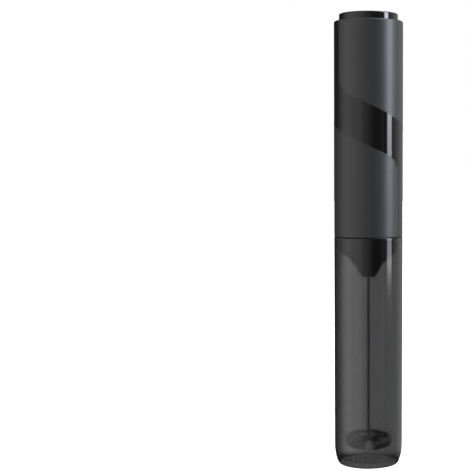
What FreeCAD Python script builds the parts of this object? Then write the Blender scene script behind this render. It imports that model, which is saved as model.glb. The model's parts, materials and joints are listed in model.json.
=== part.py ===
import FreeCAD, Part
import math
import os

# Battery milk frother standing in its see-through travel cover.
# Millimetres. The axis is Z, z = 0 is the face the cover stands on, -Y is the front.

os.makedirs("parts", exist_ok=True)

V = FreeCAD.Vector
V2 = FreeCAD.Base.Vector2d
UP = V(0, 0, 1)

# ---------------------------------------------------------------- driving sizes

# overall
outer_diameter = 38.0
sleeve_length = 118.0
cover_length = 126.4

# cover
cover_draft = 0.2           # radius lost between the rim and the foot curve
cover_fit = 0.15            # radial room round the handle's nose
foot_diameter = 33.2
foot_height = 10.0
foot_edge_round = 0.8
floor_thickness = 2.4
floor_inset = 1.9           # how far the inner floor's edge is inside the foot's
rim_round = 0.3

# grip sleeve and its gloss ribbon
sleeve_wall = 2.8
sleeve_end_round = 0.8
glue_gap = 0.05
ribbon_width = 20.4
ribbon_slope = 24.3         # degrees, downwards to the right across the front
ribbon_turn = 88.0          # degrees from the front to each upright stretch
ribbon_mid_height = 61.3    # ribbon's middle above the sleeve's lower end
ribbon_inner_round = 11.5
ribbon_outer_round = 22.0
ribbon_recess = 0.05

# barrel
barrel_wall = 1.05
barrel_stand = 3.0          # barrel showing below the sleeve
cap_sink = 2.0              # barrel's top below the sleeve's top
ledge_width = 0.9
ledge_height = 2.0

# nose
skirt_length = 5.5
skirt_chamfer = 0.2
flare_length = 8.7
flare_sag = 1.0             # how far the flare is hollowed
nose_tip_diameter = 13.4
nose_spigot_length = 6.0
press_gap = 0.05            # between pieces that are pressed or clipped together

# hub, stem and whisk
hub_gap = 0.5
hub_length = 4.4
hub_top_diameter = 13.0
hub_bottom_diameter = 7.4
hub_spigot_diameter = 5.3
hub_spigot_length = 2.8
spigot_room = 0.35
stem_diameter = 1.9
whisk_height = 12.6         # middle of the whisk above the table
whisk_diameter = 26.0
coil_diameter = 7.3
coil_wire = 0.6
coil_turns = 42
coil_gap_turns = 3          # turns left out where the frame's arm comes in
frame_wire = 1.2

# motor
shaft_diameter = 2.0
motor_diameter = 24.0
motor_flats = 20.0
motor_length = 21.5
motor_wall = 0.8
motor_depth = 8.0           # motor's front face below the sleeve
motor_boss_diameter = 6.0
motor_boss_length = 1.5
end_bell_thickness = 2.5
armature_length = 11.0
magnet_gap = 0.4
magnet_thickness = 1.85
commutator_diameter = 4.8
running_gap = 0.05
mount_screw_circle = 16.0
mount_ring_height = 5.0

# cells and their contacts
cell_diameter = 14.2
cell_length = 50.5
nub_diameter = 5.2
nub_height = 1.3
cell_spacing = 14.5
contact_thickness = 0.5
spring_length = 6.0
spring_wire = 0.7
spring_turns = 4
holder_base = 2.5
holder_rail_width = 4.4

# cap, switch and button
cap_stand = 4.0             # cap's edge above the sleeve
crown_height = 1.2
cap_edge_round = 0.8
cap_skirt_length = 27.0
cap_skirt_wall = 1.45
cap_fit = 0.15
cap_web = 2.0
cap_well_depth = 8.0        # web's top below the cap's edge
seal_wire = 1.3
switch_base_thickness = 2.0
plate_thickness = 0.4
plate_split = 1.2
button_diameter = 25.0
button_gap = 0.3
button_travel = 1.8
button_edge_round = 0.3
button_wall = 2.0
button_stem_diameter = 6.0
button_spring_diameter = 9.0
button_spring_wire = 0.6
button_spring_turns = 4
stop_room = 0.2

# ---------------------------------------------------------------- levels and radii

outer_radius = outer_diameter / 2
barrel_radius = outer_radius - sleeve_wall - glue_gap
barrel_bore = barrel_radius - barrel_wall
cover_bore = barrel_radius + cover_fit
clip_radius = barrel_bore - press_gap

seam = cover_length
sleeve_top = seam + sleeve_length
barrel_bottom = seam - barrel_stand
barrel_top = sleeve_top - cap_sink
skirt_bottom = barrel_bottom - skirt_length
nose_tip = skirt_bottom - flare_length
hub_top = nose_tip - hub_gap
hub_bottom = hub_top - hub_length

motor_front = seam - motor_depth
motor_rear = motor_front + motor_length
motor_radius = motor_diameter / 2

cap_skirt_bottom = barrel_top - cap_skirt_length
plates_bottom = cap_skirt_bottom
switch_bottom = plates_bottom + plate_thickness
switch_top = switch_bottom + switch_base_thickness
cell_top = plates_bottom - stop_room
cell_bottom = cell_top - cell_length
contact_top = cell_bottom - spring_length
holder_top = contact_top - contact_thickness
holder_bottom = holder_top - holder_base

cap_edge = sleeve_top + cap_stand
crown_top = cap_edge + crown_height
web_top = cap_edge - cap_well_depth
web_bottom = web_top - cap_web
cap_skirt_radius = barrel_bore - cap_fit
button_bottom = web_top + button_travel + stop_room


# ---------------------------------------------------------------- shaping helpers

def disc(radius, low, high, x=0.0, y=0.0):
    """Upright cylinder between two levels."""
    return Part.makeCylinder(radius, high - low, V(x, y, low))


def tube(outer, inner, low, high):
    """Upright pipe between two levels."""
    return disc(outer, low, high).cut(disc(inner, low, high))


def box(x0, x1, y0, y1, z0, z1):
    """Block between two corners."""
    return Part.makeBox(x1 - x0, y1 - y0, z1 - z0, V(x0, y0, z0))


def line(start, end):
    """Straight edge between two (radius, height) points."""
    return Part.LineSegment(V(start[0], 0, start[1]), V(end[0], 0, end[1])).toShape()


def arc(start, middle, end):
    """Round edge through three (radius, height) points."""
    points = [V(radius, 0, height) for radius, height in (start, middle, end)]
    return Part.Arc(*points).toShape()


def turned(edges):
    """Solid turned about Z from the closed outline that the edges make."""
    outline = Part.Wire(Part.__sortEdges__(edges))
    return Part.Face(outline).revolve(V(0, 0, 0), UP, 360)


def outline(points):
    """Closed run of straight edges through (radius, height) points."""
    return [line(a, b) for a, b in zip(points, points[1:] + points[:1])]


def flat_circles(shape, radius, height):
    """Level round edges of one radius at one height."""
    def fits(edge):
        circle = isinstance(edge.Curve, Part.Circle)
        return circle and abs(edge.Curve.Radius - radius) < 1e-4 and abs(edge.Curve.Center.z - height) < 1e-4
    return [edge for edge in shape.Edges if fits(edge)]


def coil_spring(radius, wire, turns, low, high, top_radius=None):
    """Open wound spring, straight or tapered, with its wire inside the two levels."""
    height = high - low - wire
    taper = math.degrees(math.atan(((top_radius or radius) - radius) / height))
    path = Part.makeHelix(height / turns, height, radius, taper)
    section = Part.Wire(Part.Circle(V(radius, 0, 0), V(0, 1, 0), wire / 2).toShape())
    spring = Part.Wire(path.Edges).makePipeShell([section], True, True)
    return spring.translated(V(0, 0, low + wire / 2))


def mirrored_pair(shape):
    """A piece and its twin half a turn round the axis."""
    twin = shape.rotated(V(0, 0, 0), UP, 180)
    return Part.Compound([shape, twin])


def save(name, shape):
    """Write one node."""
    if not shape.isValid() or not shape.Solids:
        raise ValueError(name + " is not a sound solid")
    shape.exportStep("parts/" + name + ".step")


# ---------------------------------------------------------------- cover

def foot_arc(foot_radius, foot_level, wall_radius, wall_level):
    """Arc that leaves an upright wall without a corner and curves in to the foot."""
    inward = wall_radius - foot_radius
    drop = wall_level - foot_level
    radius = (inward ** 2 + drop ** 2) / (2 * inward)
    half = math.asin(drop / radius) / 2
    middle = (wall_radius - radius + radius * math.cos(half), wall_level - radius * math.sin(half))
    return arc((foot_radius, foot_level), middle, (wall_radius, wall_level))


def make_cover_tube():
    foot = foot_diameter / 2
    floor_edge = foot - floor_inset
    low_outer = outer_radius - cover_draft
    low_bore = cover_bore - cover_draft
    shell = turned([
        line((0, 0), (foot, 0)),
        foot_arc(foot, 0, low_outer, foot_height),
        line((low_outer, foot_height), (outer_radius, cover_length)),
        line((outer_radius, cover_length), (cover_bore, cover_length)),
        line((cover_bore, cover_length), (low_bore, foot_height)),
        foot_arc(floor_edge, floor_thickness, low_bore, foot_height),
        line((floor_edge, floor_thickness), (0, floor_thickness)),
        line((0, floor_thickness), (0, 0)),
    ])
    shell = shell.makeFillet(foot_edge_round, flat_circles(shell, foot, 0))
    return shell.makeChamfer(rim_round, flat_circles(shell, cover_bore, cover_length))


# ---------------------------------------------------------------- grip sleeve and ribbon

def unit(start, end):
    """Unit step from one flat point to another."""
    run, rise = end[0] - start[0], end[1] - start[1]
    length = math.hypot(run, rise)
    return run / length, rise / length


def wrapped(point):
    """Flat (distance round, height) point as (angle, height) on the sleeve, front at -Y."""
    return V2(point[0] / outer_radius - math.pi / 2, point[1])


def ribbon_border(side, first_round, second_round):
    """Flat curves of one border: down, across the front, and down again, with round corners.

    side is 1 for the border on the right and -1 for the one on the left.
    """
    turn = math.radians(ribbon_turn) * outer_radius
    slope = math.tan(math.radians(ribbon_slope))
    shift = side * ribbon_width / 2
    middle = seam + ribbon_mid_height + shift * math.hypot(1, slope)
    past_end = sleeve_end_round + 1
    left, right = shift - turn, shift + turn
    corners = [
        (left, sleeve_top + past_end),
        (left, middle - slope * left),
        (right, middle - slope * right),
        (right, seam - past_end),
    ]
    curves = []
    start = corners[0]
    for index, radius in ((1, first_round), (2, second_round)):
        corner = corners[index]
        back = unit(corner, corners[index - 1])
        ahead = unit(corner, corners[index + 1])
        half = math.acos(back[0] * ahead[0] + back[1] * ahead[1]) / 2
        reach = radius / math.tan(half)
        leave = (corner[0] + back[0] * reach, corner[1] + back[1] * reach)
        meet = (corner[0] + ahead[0] * reach, corner[1] + ahead[1] * reach)
        curves.append(Part.Geom2d.Line2dSegment(wrapped(start), wrapped(leave)))
        bend = Part.Geom2d.BezierCurve2d()
        bend.setPoles([wrapped(leave), wrapped(corner), wrapped(meet)])
        bend.setWeight(2, math.sin(half))
        curves.append(bend)
        start = meet
    curves.append(Part.Geom2d.Line2dSegment(wrapped(start), wrapped(corners[3])))
    return curves


def border_wall(curves):
    """Radial wall that cuts the sleeve along a border."""
    inside, outside = Part.Cylinder(), Part.Cylinder()
    inside.Radius = barrel_radius - 1
    outside.Radius = outer_radius + 1
    faces = [Part.makeRuledSurface(curve.toShape(inside), curve.toShape(outside)) for curve in curves]
    return Part.Shell(faces)


def split_sleeve(outer):
    """Two pieces of a sleeve cut along both borders of the ribbon: (wrap, ribbon)."""
    blank = tube(outer, barrel_radius + glue_gap, seam, sleeve_top)
    ends = flat_circles(blank, outer, seam) + flat_circles(blank, outer, sleeve_top)
    blank = blank.makeFillet(sleeve_end_round, ends)
    right = border_wall(ribbon_border(1, ribbon_inner_round, ribbon_outer_round))
    left = border_wall(ribbon_border(-1, ribbon_outer_round, ribbon_inner_round))
    pieces = blank.generalFuse([right, left])[0].Solids
    pieces.sort(key=lambda piece: piece.Volume)
    return pieces[-1], pieces[0]


# ---------------------------------------------------------------- barrel and nose

def make_barrel():
    wall = tube(barrel_radius, barrel_bore, barrel_bottom, barrel_top)
    ledge = tube(barrel_bore + barrel_wall / 2, barrel_bore - ledge_width, holder_bottom - ledge_height,
                 holder_bottom)
    barrel = wall.fuse(ledge).removeSplitter()
    return barrel.makeChamfer(skirt_chamfer, flat_circles(barrel, barrel_radius, barrel_bottom))


seal_low = hub_top + hub_spigot_length + 0.2
seal_height = 3.0
seal_radius = 4.0
motor_pocket = motor_radius + press_gap
boss_pocket = motor_boss_diameter / 2 + press_gap
seal_top = seal_low + seal_height
spigot_bore = hub_spigot_diameter / 2 + spigot_room
screw_radius = 1.0
screw_head_radius = 1.9
screw_head_height = 1.2
screw_head_top = motor_front - 2.0
screw_head_low = screw_head_top - screw_head_height


def make_nose_cone():
    tip = nose_tip_diameter / 2
    chord = V(barrel_radius - tip, 0, skirt_bottom - nose_tip)
    inward = V(-chord.z, 0, chord.x).normalize() * flare_sag
    middle = ((barrel_radius + tip) / 2 + inward.x, (skirt_bottom + nose_tip) / 2 + inward.z)
    spigot_top = barrel_bottom + nose_spigot_length
    inner_run = [
        (tip, nose_tip),
        (spigot_bore, nose_tip),
        (spigot_bore, seal_low),
        (seal_radius, seal_low),
        (seal_radius, seal_top),
        (boss_pocket, seal_top),
        (boss_pocket, motor_front),
        (motor_pocket, motor_front),
        (motor_pocket, spigot_top),
        (clip_radius, spigot_top),
        (clip_radius, barrel_bottom),
        (barrel_radius, barrel_bottom),
        (barrel_radius, skirt_bottom),
    ]
    edges = [line(a, b) for a, b in zip(inner_run, inner_run[1:])]
    nose = turned(edges + [arc((barrel_radius, skirt_bottom), middle, (tip, nose_tip))])
    nose = nose.makeChamfer(skirt_chamfer, flat_circles(nose, barrel_radius, barrel_bottom))
    for shape in screw_shapes(press_gap, nose_tip):
        nose = nose.cut(shape)
    return nose


def screw_shapes(room, low):
    """Two screws that hold the motor from below, each a shank and a head down to a level."""
    shapes = []
    for side in (-1, 1):
        x = side * mount_screw_circle / 2
        shank = disc(screw_radius + room, screw_head_top, motor_front + motor_wall, x)
        head = disc(screw_head_radius + room, low, screw_head_top, x)
        shapes.append(shank.fuse(head))
    return shapes


def make_mount_screws():
    return Part.Compound(screw_shapes(0.0, screw_head_low))


def make_shaft_seal():
    bore = shaft_diameter / 2 + running_gap
    relief = bore + 0.8
    mid = (seal_low + seal_top) / 2
    return turned(outline([
        (relief, seal_low),
        (bore, mid - 0.4),
        (bore, mid),
        (relief, mid + 0.6),
        (relief, seal_top),
        (seal_radius, seal_top),
        (seal_radius, seal_low),
    ]))


# ---------------------------------------------------------------- motor

bush_radius = 2.0
bush_length = 2.3
shaft_bore = shaft_diameter / 2 + running_gap
boss_front = motor_front - motor_boss_length
shaft_low = hub_bottom + 3.1
bell_top = motor_rear + end_bell_thickness
bell_boss_height = 2.7
shaft_high = bell_top + bell_boss_height - 1.0
can_bore = motor_radius - motor_wall
armature_radius = can_bore - press_gap - magnet_thickness - magnet_gap
armature_low = motor_front + 4.5
armature_high = armature_low + armature_length
commutator_low = armature_high + 3.0
commutator_high = motor_rear - 0.2
brush_low = commutator_low + 0.5
tag_top = bell_top + 3.0
brush_x = 8.0
strip_width = 3.0
strip_thickness = 0.4
carbon_length = 1.6
carbon_width = 2.0
carbon_height = 1.8
magnet_overhang = 1.5       # magnets longer than the armature at either end
magnet_half_turn = 50.0
core_radius = armature_radius / 2.6
pole_half = 1.4             # half the width of a pole's limb
shoe_thickness = 1.6
shoe_half_width = armature_radius * 0.8
pole_overlap = 0.1
winding_half = 2.7
winding_overhang = 1.2
winding_round = 0.9
slot_depth = 0.6
slot_half = 0.2


def with_flats(shape, across):
    """Shape trimmed to the motor's two flat sides."""
    reach = motor_diameter
    return shape.common(box(-reach, reach, -across / 2, across / 2, 0, sleeve_top))


def make_motor_can():
    can = with_flats(disc(motor_radius, motor_front, motor_rear), motor_flats)
    room = with_flats(disc(can_bore, motor_front + motor_wall, motor_rear), motor_flats - 2 * motor_wall)
    can = can.cut(room).fuse(disc(motor_boss_diameter / 2, boss_front, motor_front + motor_wall))
    can = can.cut(disc(bush_radius, boss_front, motor_front + motor_wall))
    for shape in screw_shapes(0.0, screw_head_low):
        can = can.cut(shape)
    return can.removeSplitter()


def make_end_bell():
    bell = with_flats(disc(motor_radius, motor_rear, bell_top), motor_flats)
    bell = bell.fuse(disc(bush_radius + 1, bell_top, bell_top + bell_boss_height))
    bell = bell.cut(disc(bush_radius, motor_rear, shaft_high + 0.3))
    for slot in strips(press_gap, brush_low, tag_top):
        bell = bell.cut(slot)
    return bell.removeSplitter()


def strips(room, low, high):
    """Upright metal strip on either side, with room round it."""
    half_width, half_thick = strip_width / 2 + room, strip_thickness / 2 + room
    return [box(side * brush_x - half_thick, side * brush_x + half_thick, -half_width, half_width, low, high)
            for side in (-1, 1)]


def make_motor_brushes():
    """Carbon block on a sprung arm on either side, each with its upright strip."""
    touch = commutator_diameter / 2 + running_gap
    back = touch + carbon_length
    half = strip_width / 2
    carbon = box(touch - 1, back, -carbon_width / 2, carbon_width / 2, brush_low, brush_low + carbon_height)
    carbon = carbon.cut(disc(touch, brush_low, brush_low + carbon_height))
    arm = box(back, brush_x, -half, half, brush_low, brush_low + strip_thickness)
    brush = carbon.fuse([arm, strips(0.0, brush_low, tag_top)[1]]).removeSplitter()
    return mirrored_pair(brush)


def make_magnets():
    outer = can_bore - press_gap
    low, high = armature_low - magnet_overhang, armature_high + magnet_overhang
    ring = tube(outer, outer - magnet_thickness, low, high)
    half_height = outer * math.sin(math.radians(magnet_half_turn))
    reach = motor_diameter
    right = ring.common(box(0, reach, -half_height, half_height, low, high))
    return mirrored_pair(right)


def make_bush(low):
    return tube(bush_radius, shaft_bore, low, low + bush_length)


def make_armature():
    """Core with three poles, each a limb and a curved shoe."""
    low, high = armature_low, armature_high
    inner = armature_radius - shoe_thickness
    shoe = tube(armature_radius, inner, low, high)
    shoe = shoe.common(box(0, armature_radius, -shoe_half_width, shoe_half_width, low, high))
    pole = shoe.fuse(box(0, inner + pole_overlap, -pole_half, pole_half, low, high))
    poles = [pole.rotated(V(0, 0, 0), UP, 120 * index) for index in range(3)]
    core = disc(core_radius, low, high).fuse(poles)
    return core.cut(disc(shaft_diameter / 2, low, high)).removeSplitter()


def make_windings():
    """Bundle of wire round the limb of each pole."""
    start, end = core_radius + 0.5, armature_radius - shoe_thickness - 0.8
    low, high = armature_low - winding_overhang, armature_high + winding_overhang
    bundle = box(start, end, -winding_half, winding_half, low, high)
    bundle = bundle.makeFillet(winding_round, [edge for edge in bundle.Edges if edge.BoundBox.XLength > 1])
    bundle = bundle.cut(box(0, armature_radius, -pole_half, pole_half, armature_low, armature_high))
    return Part.Compound([bundle.rotated(V(0, 0, 0), UP, 120 * index) for index in range(3)])


def make_commutator():
    sleeve = tube(commutator_diameter / 2, shaft_diameter / 2, commutator_low, commutator_high)
    slot = box(commutator_diameter / 2 - slot_depth, commutator_diameter, -slot_half, slot_half,
               commutator_low, commutator_high)
    for index in range(3):
        sleeve = sleeve.cut(slot.rotated(V(0, 0, 0), UP, 60 + 120 * index))
    return sleeve


def make_motor_mount():
    low = motor_rear - mount_ring_height - 3.0
    return tube(clip_radius, motor_pocket, low, low + mount_ring_height)


# ---------------------------------------------------------------- cells

def make_battery_holder():
    rail_high = cell_top - 1.0
    holder = disc(clip_radius, holder_bottom, holder_top)
    half = holder_rail_width / 2
    rails = box(-half, half, -clip_radius, clip_radius, holder_bottom, rail_high)
    rails = rails.common(disc(clip_radius, holder_bottom, rail_high))
    for side in (-1, 1):
        rails = rails.cut(disc(cell_diameter / 2 + stop_room, holder_top, rail_high, side * cell_spacing / 2))
    rails = rails.cut(box(-half, half, -cell_diameter / 2, cell_diameter / 2, holder_top, rail_high))
    holder = holder.fuse(rails)
    for slot in strips(press_gap, holder_bottom, holder_top):
        holder = holder.cut(slot)
    return holder.removeSplitter()


def make_cell(side, nub_up):
    x = side * cell_spacing / 2
    radius = cell_diameter / 2
    body_low = cell_bottom if nub_up else cell_bottom + nub_height
    body = disc(radius, body_low, body_low + cell_length - nub_height, x)
    ends = flat_circles(body, radius, body_low) + flat_circles(body, radius, body_low + cell_length - nub_height)
    body = body.makeFillet(0.5, ends)
    nub_low = cell_top - nub_height if nub_up else cell_bottom
    return body.fuse(disc(nub_diameter / 2, nub_low, nub_low + nub_height, x))


def pair_of(shape_at):
    """One piece under each cell."""
    return Part.Compound([shape_at(side * cell_spacing / 2) for side in (-1, 1)])


def make_battery_springs():
    spring = coil_spring(4.6, spring_wire, spring_turns, contact_top, cell_bottom, 2.2)
    return pair_of(lambda x: spring.translated(V(x, 0, 0)))


# ---------------------------------------------------------------- cap, switch and button

def crown():
    """Ball whose top is the domed top of the cap and its button."""
    radius = (barrel_radius ** 2 + crown_height ** 2) / (2 * crown_height)
    return Part.makeSphere(radius, V(0, 0, crown_top - radius))


def make_battery_cap():
    head = disc(barrel_radius, barrel_top, crown_top + 1).common(crown())
    rim = [e for e in head.Edges if abs(e.BoundBox.ZMax - cap_edge) < 0.01 and e.BoundBox.ZLength < 0.01]
    head = head.makeFillet(cap_edge_round, rim)
    cap = head.fuse(disc(cap_skirt_radius, cap_skirt_bottom, barrel_top))
    cap = cap.cut(disc(button_diameter / 2 + button_gap, web_top, crown_top + 1))
    cap = cap.cut(disc(cap_skirt_radius - cap_skirt_wall, cap_skirt_bottom, web_bottom))
    cap = cap.cut(disc(button_stem_diameter / 2 + 2 * running_gap, web_bottom, web_top))
    groove_middle = (web_top + web_bottom) / 2
    half = seal_wire / 2 + 0.1
    groove = tube(barrel_bore, cap_skirt_radius - seal_wire + 0.1, groove_middle - half, groove_middle + half)
    return cap.cut(groove).removeSplitter()


def make_cap_seal():
    minor = seal_wire / 2
    return Part.makeTorus(barrel_bore - running_gap - minor, minor, V(0, 0, (web_top + web_bottom) / 2))


rivet_places = (-8.0, 2.2)
rivet_radius = 1.1
rivet_head_radius = 1.8
rivet_head_height = 0.7
base_radius = cap_skirt_radius - cap_skirt_wall - press_gap


def make_switch_base():
    base = disc(base_radius, switch_bottom, switch_top)
    for x in rivet_places:
        base = base.cut(disc(rivet_radius, switch_bottom, switch_top, x))
    return base


def make_contact_pins():
    pins = []
    for x in rivet_places:
        shank = disc(rivet_radius, switch_bottom, switch_top, x)
        pins.append(shank.fuse(disc(rivet_head_radius, switch_top, switch_top + rivet_head_height, x)))
    return Part.Compound(pins)


def make_bridge_contact():
    plate = disc(base_radius, plates_bottom, switch_bottom)
    plate = plate.cut(box(-plate_split / 2, plate_split / 2, -base_radius, base_radius, 0, sleeve_top))
    return Part.Compound(plate.Solids)


leaf_thickness = 0.3
leaf_rise = 1.4
leaf_foot = switch_top + rivet_head_height


def make_switch_leaf():
    """Springy strip riveted at one end and held just above the other contact."""
    start, bend, end = rivet_places[0] - 2, rivet_places[0] + 2.5, rivet_places[1] + 2
    raised = leaf_foot + leaf_rise
    points = [
        (start, leaf_foot),
        (bend, leaf_foot),
        (bend + 3, raised),
        (end, raised),
        (end, raised + leaf_thickness),
        (bend + 3, raised + leaf_thickness),
        (bend, leaf_foot + leaf_thickness),
        (start, leaf_foot + leaf_thickness),
    ]
    side = Part.Face(Part.Wire(outline(points)))
    return side.extrude(V(0, 4, 0)).translated(V(0, -2, 0))


def make_button():
    radius = button_diameter / 2
    head = disc(radius, button_bottom, crown_top + 1).common(crown())
    rim = [e for e in head.Edges if e.BoundBox.ZLength < 0.01 and e.BoundBox.ZMax > cap_edge]
    head = head.makeFillet(button_edge_round, rim)
    ceiling = cap_edge - button_wall
    head = head.cut(disc(radius - button_wall, button_bottom, ceiling))
    stem_low = leaf_foot + leaf_rise + leaf_thickness + button_travel + stop_room
    stem = disc(button_stem_diameter / 2, stem_low, ceiling + 0.5)
    stop_high = web_bottom - stop_room
    stop = disc(button_stem_diameter / 2 + 1.0, stop_high - 1.6, stop_high)
    return head.fuse([stem, stop]).removeSplitter()


def make_button_spring():
    radius = (button_spring_diameter - button_spring_wire) / 2
    return coil_spring(radius, button_spring_wire, button_spring_turns, web_top, cap_edge - button_wall)


# ---------------------------------------------------------------- hub and whisk

stem_top = shaft_low - 0.5
ring_radius = (whisk_diameter - coil_diameter) / 2
coil_radius = (coil_diameter - coil_wire) / 2
frame_level = whisk_height + coil_radius - coil_wire / 2 - frame_wire / 2 - running_gap


def make_hub():
    cone = Part.makeCone(hub_bottom_diameter / 2, hub_top_diameter / 2, hub_length, V(0, 0, hub_bottom))
    hub = cone.fuse(disc(hub_spigot_diameter / 2, hub_top, hub_top + hub_spigot_length))
    hub = hub.cut(disc(shaft_diameter / 2, shaft_low, hub_top + hub_spigot_length))
    return hub.cut(disc(stem_diameter / 2, hub_bottom, stem_top)).removeSplitter()


def make_whisk_frame():
    """Wire ring with a straight arm from the stem, both at one level."""
    ring = Part.makeTorus(ring_radius, frame_wire / 2, V(0, 0, frame_level))
    arm = Part.makeCylinder(frame_wire / 2, ring_radius, V(0, 0, frame_level), V(0, -1, 0))
    stem_space = disc(stem_diameter / 2, frame_level - 1, frame_level + 1)
    return ring.fuse(arm).cut(stem_space).removeSplitter()


def make_whisk_coil():
    """Turns of the coil, each a ring of wire leaned by half the pitch."""
    pitch_angle = 360.0 / coil_turns
    lean = math.degrees(math.atan(math.radians(pitch_angle) * ring_radius / (2 * coil_diameter)))
    turns = []
    for index in range(coil_turns - coil_gap_turns):
        turn = Part.makeTorus(coil_radius, coil_wire / 2, V(0, 0, 0), V(0, 1, 0))
        turn = turn.rotated(V(0, 0, 0), V(1, 0, 0), lean).translated(V(ring_radius, 0, whisk_height))
        angle = -90 + pitch_angle * (index + (coil_gap_turns + 1) / 2)
        turns.append(turn.rotated(V(0, 0, 0), UP, angle))
    return Part.Compound(turns)


# ---------------------------------------------------------------- the nodes

wrap = split_sleeve(outer_radius)[0]
ribbon = split_sleeve(outer_radius - ribbon_recess)[1]

save("cover_tube", make_cover_tube())
save("grip_sleeve", wrap)
save("gloss_band", ribbon)
save("barrel", make_barrel())
save("nose_cone", make_nose_cone())
save("shaft_seal", make_shaft_seal())
save("mount_screws", make_mount_screws())

save("motor_can", make_motor_can())
save("motor_end_bell", make_end_bell())
save("motor_magnets", make_magnets())
save("motor_front_bush", make_bush(boss_front))
save("motor_rear_bush", make_bush(shaft_high - bush_length))
save("motor_brushes", make_motor_brushes())
save("motor_mount", make_motor_mount())
save("motor_leads", Part.Compound(strips(0.0, tag_top, holder_top)))

save("battery_holder", make_battery_holder())
save("battery_left", make_cell(-1, True))
save("battery_right", make_cell(1, False))
save("battery_contacts", pair_of(lambda x: disc(5.2, holder_top, contact_top, x)))
save("battery_springs", make_battery_springs())

save("battery_cap", make_battery_cap())
save("cap_seal", make_cap_seal())
save("switch_base", make_switch_base())
save("contact_pins", make_contact_pins())
save("bridge_contact", make_bridge_contact())
save("switch_leaf", make_switch_leaf())
save("button", make_button())
save("button_spring", make_button_spring())

save("motor_shaft", disc(shaft_diameter / 2, shaft_low, shaft_high))
save("motor_armature", make_armature())
save("motor_windings", make_windings())
save("commutator", make_commutator())
save("whisk_hub", make_hub())
save("whisk_stem", disc(stem_diameter / 2, frame_level - frame_wire / 2, stem_top))
save("whisk_frame", make_whisk_frame())
save("whisk_coil", make_whisk_coil())
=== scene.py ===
"""Battery milk frother in its see-through travel cover: the looks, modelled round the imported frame."""
import json
import math

import bpy
from bpy.props import FloatProperty, FloatVectorProperty, IntProperty
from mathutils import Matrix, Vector


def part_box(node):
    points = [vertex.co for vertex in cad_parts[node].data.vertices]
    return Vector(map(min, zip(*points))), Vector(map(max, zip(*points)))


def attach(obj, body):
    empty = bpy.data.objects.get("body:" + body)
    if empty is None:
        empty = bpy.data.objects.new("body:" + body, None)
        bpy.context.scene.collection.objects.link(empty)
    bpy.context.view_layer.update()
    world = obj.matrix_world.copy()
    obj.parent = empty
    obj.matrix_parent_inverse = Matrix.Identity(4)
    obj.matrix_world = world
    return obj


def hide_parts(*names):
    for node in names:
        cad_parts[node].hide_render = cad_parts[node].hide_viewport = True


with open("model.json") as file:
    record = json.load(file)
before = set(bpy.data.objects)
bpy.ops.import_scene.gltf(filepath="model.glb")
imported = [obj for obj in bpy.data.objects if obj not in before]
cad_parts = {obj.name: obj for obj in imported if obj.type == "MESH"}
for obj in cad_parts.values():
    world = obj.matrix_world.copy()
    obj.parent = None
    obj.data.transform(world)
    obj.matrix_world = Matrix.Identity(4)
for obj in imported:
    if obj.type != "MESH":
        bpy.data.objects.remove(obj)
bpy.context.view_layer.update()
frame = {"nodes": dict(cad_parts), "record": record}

bl_info = {
    "name": "Milk frother",
    "version": (1, 0, 0),
    "blender": (4, 5, 0),
    "location": "3D View > Sidebar > Frother",
    "description": "Models a battery milk frother and its travel cover, piece by piece",
    "category": "Add Mesh",
}

MM = 0.001
AROUND = 160                    # faces round a turned piece
AROUND_HUB = 96
AROUND_STEM = 32


def srgb(code):
    """Linear colour from a hex sRGB one."""
    parts = [int(code[i:i + 2], 16) / 255 for i in (1, 3, 5)]
    return tuple(c / 12.92 if c <= 0.04045 else ((c + 0.055) / 1.055) ** 2.4 for c in parts)


# ---------------------------------------------------------------- places read from the frame

OUTER_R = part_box("grip_sleeve")[1].x
SEAM_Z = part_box("cover_tube")[1].z
SLEEVE_TOP_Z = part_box("grip_sleeve")[1].z
BARREL_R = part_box("barrel")[1].x
BARREL_BOTTOM_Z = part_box("barrel")[0].z
BARREL_TOP_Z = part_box("barrel")[1].z
NOSE_TIP_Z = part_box("nose_cone")[0].z
NOSE_TOP_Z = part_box("nose_cone")[1].z
CAP_SKIRT_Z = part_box("battery_cap")[0].z
CROWN_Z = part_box("button")[1].z
BUTTON_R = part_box("button")[1].x
STEM_LOW_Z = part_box("button")[0].z
HUB_LOW_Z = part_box("whisk_hub")[0].z
HUB_HIGH_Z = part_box("whisk_hub")[1].z
WIRE_STEM_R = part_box("whisk_stem")[1].x
WIRE_STEM_LOW_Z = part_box("whisk_stem")[0].z
WIRE_STEM_HIGH_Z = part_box("whisk_stem")[1].z
FRAME_LOW_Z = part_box("whisk_frame")[0].z
FRAME_HIGH_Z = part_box("whisk_frame")[1].z
COIL_LOW_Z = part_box("whisk_coil")[0].z
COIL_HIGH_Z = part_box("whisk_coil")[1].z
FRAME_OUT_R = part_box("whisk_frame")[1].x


# ---------------------------------------------------------------- sizes of hidden and fine details

PRESS_GAP = 0.05 * MM           # between pieces that are pressed or clipped together
MOTOR_POCKET_R = 12.05 * MM
MOTOR_DEPTH = 8.0 * MM          # pocket's floor below the sleeve's lower end
CAP_FIT = 0.15 * MM
CAP_SKIRT_WALL = 1.45 * MM
CAP_WEB = 2.0 * MM
SEAL_GROOVE_DEPTH = 1.2 * MM
SEAL_GROOVE_HALF = 0.75 * MM
GUIDE_R = 3.1 * MM              # hole in the web that the button's stem slides in
BUTTON_STEM_R = 3.0 * MM
BUTTON_STEM_CHAMFER = 0.4 * MM
BUTTON_STOP_WIDTH = 1.0 * MM
BUTTON_STOP_HEIGHT = 1.6 * MM
BUTTON_STOP_ROOM = 0.2 * MM
BUTTON_CEILING = 2.0 * MM       # inside of its top below the cap's edge
BUTTON_RISE = 2.0 * MM          # its lower rim above the web
BUTTON_WALL = 2.0 * MM
BUTTON_CENTRE_R = 0.4 * MM      # small flat that closes the dome
HUB_EDGE = 0.3 * MM
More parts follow.
